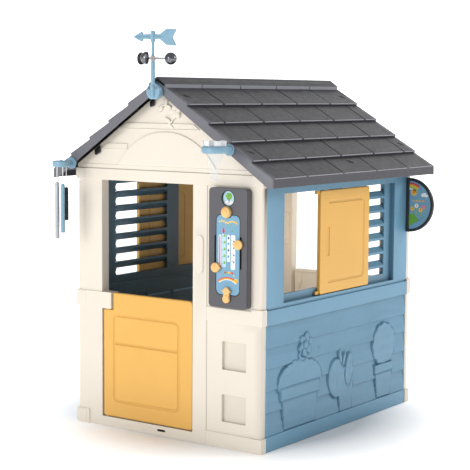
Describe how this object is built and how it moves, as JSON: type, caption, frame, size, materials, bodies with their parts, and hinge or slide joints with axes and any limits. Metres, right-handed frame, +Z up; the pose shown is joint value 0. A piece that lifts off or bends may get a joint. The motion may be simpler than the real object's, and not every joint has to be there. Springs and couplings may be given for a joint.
{
  "type": "plastic playhouse",
  "caption": "Free-standing moulded plastic playhouse with a gable roof, half door, sliding shutters, louvred windows, weather vane, rain gauge, wind chime and a weather dial panel.",
  "frame": {"origin": "centre of the whole object's footprint, on the ground", "axes": "+Z up, the door wall faces -Y, +X to the right when facing the door"},
  "size_m": [1.0108, 1.269, 1.433],
  "materials": {
    "cream": "moulded polyethylene, fine satin texture",
    "wall_blue": "moulded polyethylene, fine satin texture",
    "roof_grey": "moulded polyethylene, fine grained texture",
    "yellow": "moulded polyethylene, satin",
    "knob_yellow": "moulded, slightly glossy",
    "sky_blue": "moulded, slightly glossy",
    "silver": "silver metallised plastic",
    "rotor_grey": "moulded, slightly glossy",
    "clear": "clear moulded plastic",
    "chime_dark": "dark grey satin plastic tube",
    "cord": "white braided cord",
    "panel_grey": "moulded, fine texture",
    "print": "printed picture label",
    "screw": "zinc plated steel"
  },
  "bodies": {
    "root": {"front_door_frame": "cream", "front_side_panel": "cream", "front_gable": "cream", "back_window_frame": "cream", "back_lower_panel": "cream", "back_side_panel": "cream", "back_gable": "cream", "right_lower_panel": "wall_blue", "left_lower_panel": "wall_blue", "right_window_frame": "wall_blue", "left_window_frame": "wall_blue", "roof_right_slope": "roof_grey", "roof_left_slope": "roof_grey", "ridge_cap": "roof_grey", "front_roof_clips": "roof_grey", "back_roof_clips": "roof_grey", "vane_clamp": "sky_blue", "vane_mast": "sky_blue", "gauge_clamp": "sky_blue", "gauge_ring": "sky_blue", "chime_clamp": "sky_blue", "chime_ring": "sky_blue", "panel_housing": "panel_grey", "panel_backplate": "panel_grey", "sign_frame": "panel_grey", "panel_insert": "print", "sign_picture": "print", "vane_screws": "screw", "panel_screws": "screw", "sign_screws": "screw", "wall_screws": "screw"},
    "door": {"door": "yellow"},
    "right_shutter_body": {"right_shutter": "yellow"},
    "left_shutter_body": {"left_shutter": "yellow"},
    "vane": {"vane_arrow": "sky_blue"},
    "wind": {"wind_rotor": "rotor_grey", "wind_cups": "silver"},
    "funnel": {"gauge_funnel": "clear"},
    "season_dial": {"season_wheel": "print", "season_knob": "knob_yellow"},
    "pointer": {"pointer_knob": "knob_yellow"},
    "slider_right": {"right_slider": "knob_yellow"},
    "slider_left": {"left_slider": "knob_yellow"},
    "chime_1": {"chime_tube_1": "sky_blue", "chime_cord_1": "cord"},
    "chime_2": {"chime_tube_2": "chime_dark", "chime_cord_2": "cord"},
    "chime_3": {"chime_tube_3": "chime_dark", "chime_cord_3": "cord"},
    "chime_4": {"chime_tube_4": "silver", "chime_cord_4": "cord"},
    "chime_5": {"chime_tube_5": "chime_dark", "chime_cord_5": "cord"}
  },
  "joints": [
    {"name": "door_hinge", "type": "hinge", "parent": "root", "child": "door", "pos_m": [-0.29714, -0.4355, 0.26], "axis": [0, 0, 1], "range_deg": [-100, 0]},
    {"name": "right_shutter_slide", "type": "slide", "parent": "root", "child": "right_shutter_body", "axis": [0, 1, 0], "range_m": [-0.215, 0.187]},
    {"name": "left_shutter_slide", "type": "slide", "parent": "root", "child": "left_shutter_body", "axis": [0, 1, 0], "range_m": [-0.203, 0.2]},
    {"name": "vane_turn", "type": "hinge", "parent": "root", "child": "vane", "pos_m": [-0.02215, -0.5195, 1.4], "axis": [0, 0, 1], "continuous": true},
    {"name": "wind_turn", "type": "hinge", "parent": "root", "child": "wind", "pos_m": [-0.02215, -0.5195, 1.334], "axis": [0, 0, 1], "continuous": true},
    {"name": "funnel_lift", "type": "slide", "parent": "root", "child": "funnel", "axis": [0, 0, 1], "range_m": [0, 0.135]},
    {"name": "chime_swing_1", "type": "hinge", "parent": "root", "child": "chime_1", "pos_m": [-0.39665, -0.56666, 0.9497], "axis": [-0.509, -0.8607, 0], "range_deg": [-0.5, 12]},
    {"name": "chime_swing_2", "type": "hinge", "parent": "root", "child": "chime_2", "pos_m": [-0.39864, -0.5456, 0.9497], "axis": [0.6613, -0.7501, 0], "range_deg": [-0.5, 12]},
    {"name": "chime_swing_3", "type": "hinge", "parent": "root", "child": "chime_3", "pos_m": [-0.41929, -0.54098, 0.9497], "axis": [0.9178, 0.3971, 0], "range_deg": [-0.5, 12]},
    {"name": "chime_swing_4", "type": "hinge", "parent": "root", "child": "chime_4", "pos_m": [-0.41607, -0.57507, 0.9497], "axis": [-0.9759, 0.2181, 0], "range_deg": [-0.5, 12]},
    {"name": "chime_swing_5", "type": "hinge", "parent": "root", "child": "chime_5", "pos_m": [-0.43006, -0.55919, 0.9497], "axis": [-0.0941, 0.9956, 0], "range_deg": [-0.5, 12]},
    {"name": "season_turn", "type": "hinge", "parent": "root", "child": "season_dial", "pos_m": [0.26286, -0.4745, 0.82], "axis": [0, -1, 0], "continuous": true},
    {"name": "pointer_turn", "type": "hinge", "parent": "root", "child": "pointer", "pos_m": [0.26486, -0.4745, 0.526], "axis": [0, -1, 0], "range_deg": [-60, 60]},
    {"name": "right_slider_travel", "type": "slide", "parent": "root", "child": "slider_right", "axis": [0, 0, 1], "range_m": [-0.0745, 0.0175]},
    {"name": "left_slider_travel", "type": "slide", "parent": "root", "child": "slider_left", "axis": [0, 0, 1], "range_m": [-0.0075, 0.1015]}
  ]
}
